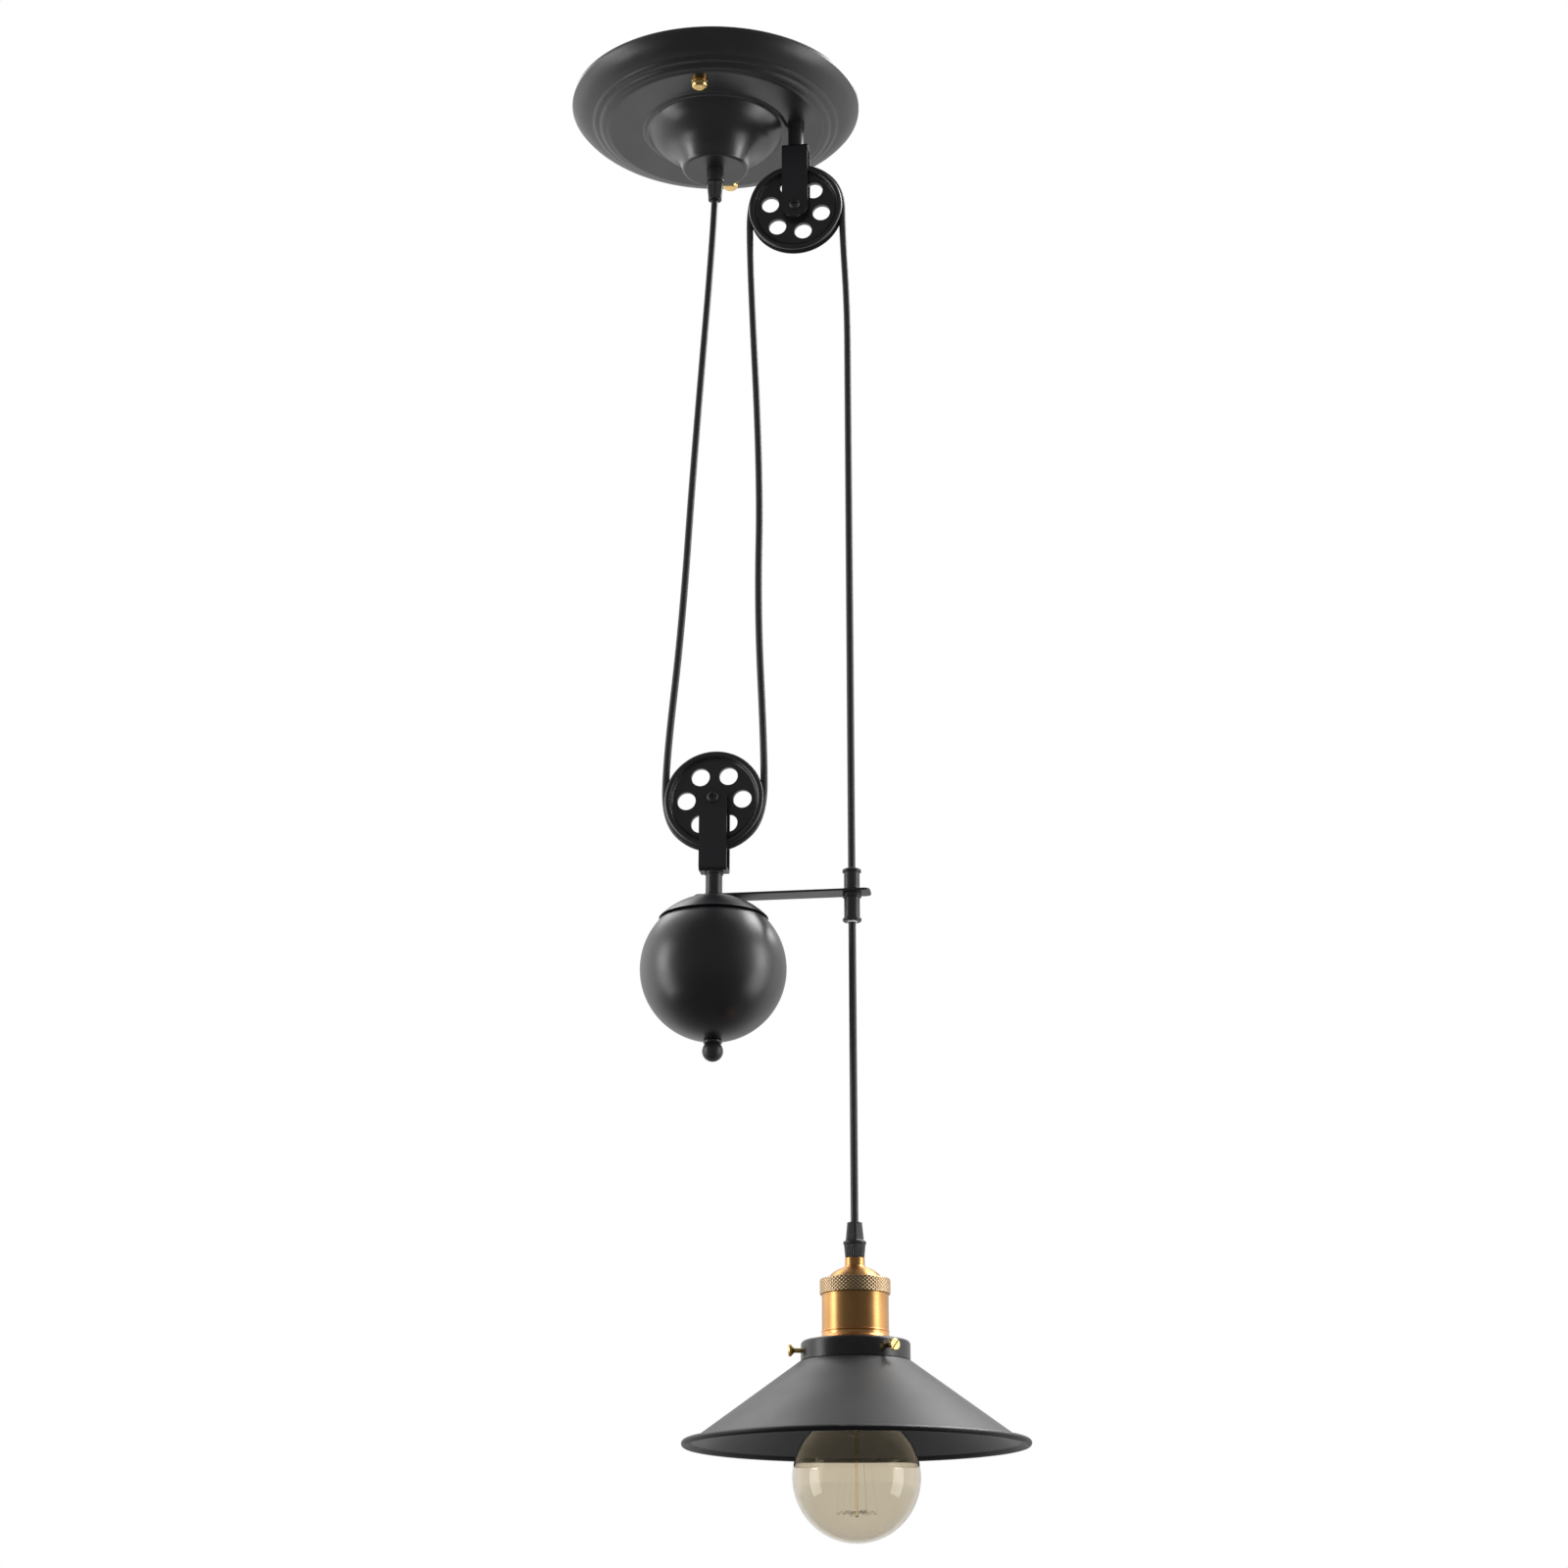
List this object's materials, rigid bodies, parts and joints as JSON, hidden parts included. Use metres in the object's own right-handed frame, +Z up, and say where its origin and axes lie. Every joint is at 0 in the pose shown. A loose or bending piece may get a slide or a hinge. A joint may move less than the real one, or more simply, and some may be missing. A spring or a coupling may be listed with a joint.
{
  "type": "rise and fall pendant lamp",
  "caption": "Pendant lamp whose height is set by hand: the cord runs over a fixed pulley and under a ball weight's pulley, with a wide conical shade and a globe bulb.",
  "frame": {"origin": "centre of the ceiling cover on the ceiling plane", "axes": "+Z up into the ceiling, X from the weight's side to the lamp's side, pulleys turn about Y; the whole lamp hangs below z = 0"},
  "size_m": [0.313, 0.22, 1.0306],
  "materials": {
    "cover_paint": "satin black powder coat",
    "bracket_paint": "satin black powder coat",
    "pulley_paint": "semi-gloss black enamel",
    "weight_paint": "satin black powder coat",
    "shade_paint": "satin black powder coat",
    "zinc_steel": "zinc plated",
    "black_steel": "black oxide, slightly glossy",
    "polished_brass": "polished",
    "brushed_brass": "brushed round the body",
    "aged_brass": "aged, diamond knurled",
    "copper_brass": "warm satin",
    "black_plastic": "fine satin",
    "white_plastic": "satin",
    "ceramic": "glazed",
    "cord_sheath": "smooth round sheath",
    "clear_glass": "clear with a faint warm tint",
    "stem_glass": "clear rod",
    "wire": "fine dark wire",
    "nickel": "bright screw cap",
    "raw_iron": "as cast"
  },
  "bodies": {
    "ceiling": {"canopy": "cover_paint", "mounting_strap": "zinc_steel", "strap_studs": "zinc_steel", "stud_lock_nuts": "zinc_steel", "cap_nuts": "polished_brass", "earth_screw": "polished_brass", "terminal_block": "white_plastic", "terminal_screws": "polished_brass", "rose_grip_body": "black_plastic", "rose_grip_nut": "black_plastic", "rose_grip_lock_nut": "black_plastic", "cord_tail": "cord_sheath", "upper_stem": "black_steel", "upper_bolt": "zinc_steel", "upper_bolt_nut": "zinc_steel", "upper_bracket": "bracket_paint", "upper_axle_screw": "black_steel", "upper_axle_sleeve": "polished_brass", "upper_axle_nut": "black_steel", "cord_upper_bight": "cord_sheath", "cord_leg_down": "cord_sheath", "cord_leg_up": "cord_sheath", "cord_drop": "cord_sheath"},
    "upper_pulley": {"upper_pulley": "pulley_paint"},
    "counterweight": {"lower_bracket": "bracket_paint", "lower_axle_screw": "black_steel", "lower_axle_sleeve": "polished_brass", "lower_axle_nut": "black_steel", "weight_stem": "black_steel", "guide_arm": "bracket_paint", "ferrule_upper": "black_steel", "ferrule_lower": "black_steel", "ferrule_liner": "white_plastic", "weight_cap": "weight_paint", "weight_shell": "weight_paint", "weight_ballast": "raw_iron", "weight_rod": "zinc_steel", "weight_rod_nuts": "zinc_steel", "finial": "black_steel", "cord_lower_bight": "cord_sheath"},
    "lower_pulley": {"lower_pulley": "pulley_paint"},
    "lamp": {"lamp_grip_nut": "black_plastic", "lamp_grip_body": "black_plastic", "holder_cap": "brushed_brass", "holder_ring": "aged_brass", "holder_body": "brushed_brass", "holder_skirt": "copper_brass", "gallery": "shade_paint", "gallery_nut": "aged_brass", "shade": "shade_paint", "socket_insert": "ceramic", "socket_thread": "polished_brass", "contact_strip": "polished_brass", "bulb_cap": "nickel", "bulb_glass": "clear_glass", "bulb_stem": "stem_glass", "filament": "wire"},
    "thumb_screw_front": {"thumb_screw_front": "polished_brass"},
    "thumb_screw_left": {"thumb_screw_left": "polished_brass"},
    "thumb_screw_rear": {"thumb_screw_rear": "polished_brass"}
  },
  "joints": [
    {"name": "weight_slide", "type": "slide", "parent": "ceiling", "child": "counterweight", "axis": [0, 0, 1], "range_m": [-0.06, 0.3], "deforming": ["cord_leg_down", "cord_leg_up"]},
    {"name": "lamp_slide", "type": "slide", "parent": "ceiling", "child": "lamp", "axis": [0, 0, 1], "range_m": [-0.6, 0.12], "deforming": ["cord_drop"]},
    {"name": "upper_pulley_turn", "type": "hinge", "parent": "ceiling", "child": "upper_pulley", "pos_m": [0.06, 0, -0.09], "axis": [0, 1, 0], "range_deg": [-204, 1013]},
    {"name": "lower_pulley_turn", "type": "hinge", "parent": "counterweight", "child": "lower_pulley", "pos_m": [0.0035, 0, -0.541], "axis": [0, 1, 0], "range_deg": [-507, 103]},
    {"name": "thumb_screw_front_slide", "type": "slide", "parent": "lamp", "child": "thumb_screw_front", "axis": [0.6691, -0.7431, 0], "range_m": [0, 0.003]},
    {"name": "thumb_screw_left_slide", "type": "slide", "parent": "lamp", "child": "thumb_screw_left", "axis": [-0.9781, -0.2079, 0], "range_m": [0, 0.003]},
    {"name": "thumb_screw_rear_slide", "type": "slide", "parent": "lamp", "child": "thumb_screw_rear", "axis": [0.309, 0.9511, 0], "range_m": [0, 0.003]}
  ],
  "couplings": [
    {"joint": "lamp_slide", "follows": "weight_slide", "ratio": -2},
    {"joint": "upper_pulley_turn", "follows": "weight_slide", "rad_per_m": 58.824},
    {"joint": "lower_pulley_turn", "follows": "weight_slide", "rad_per_m": -29.412}
  ]
}
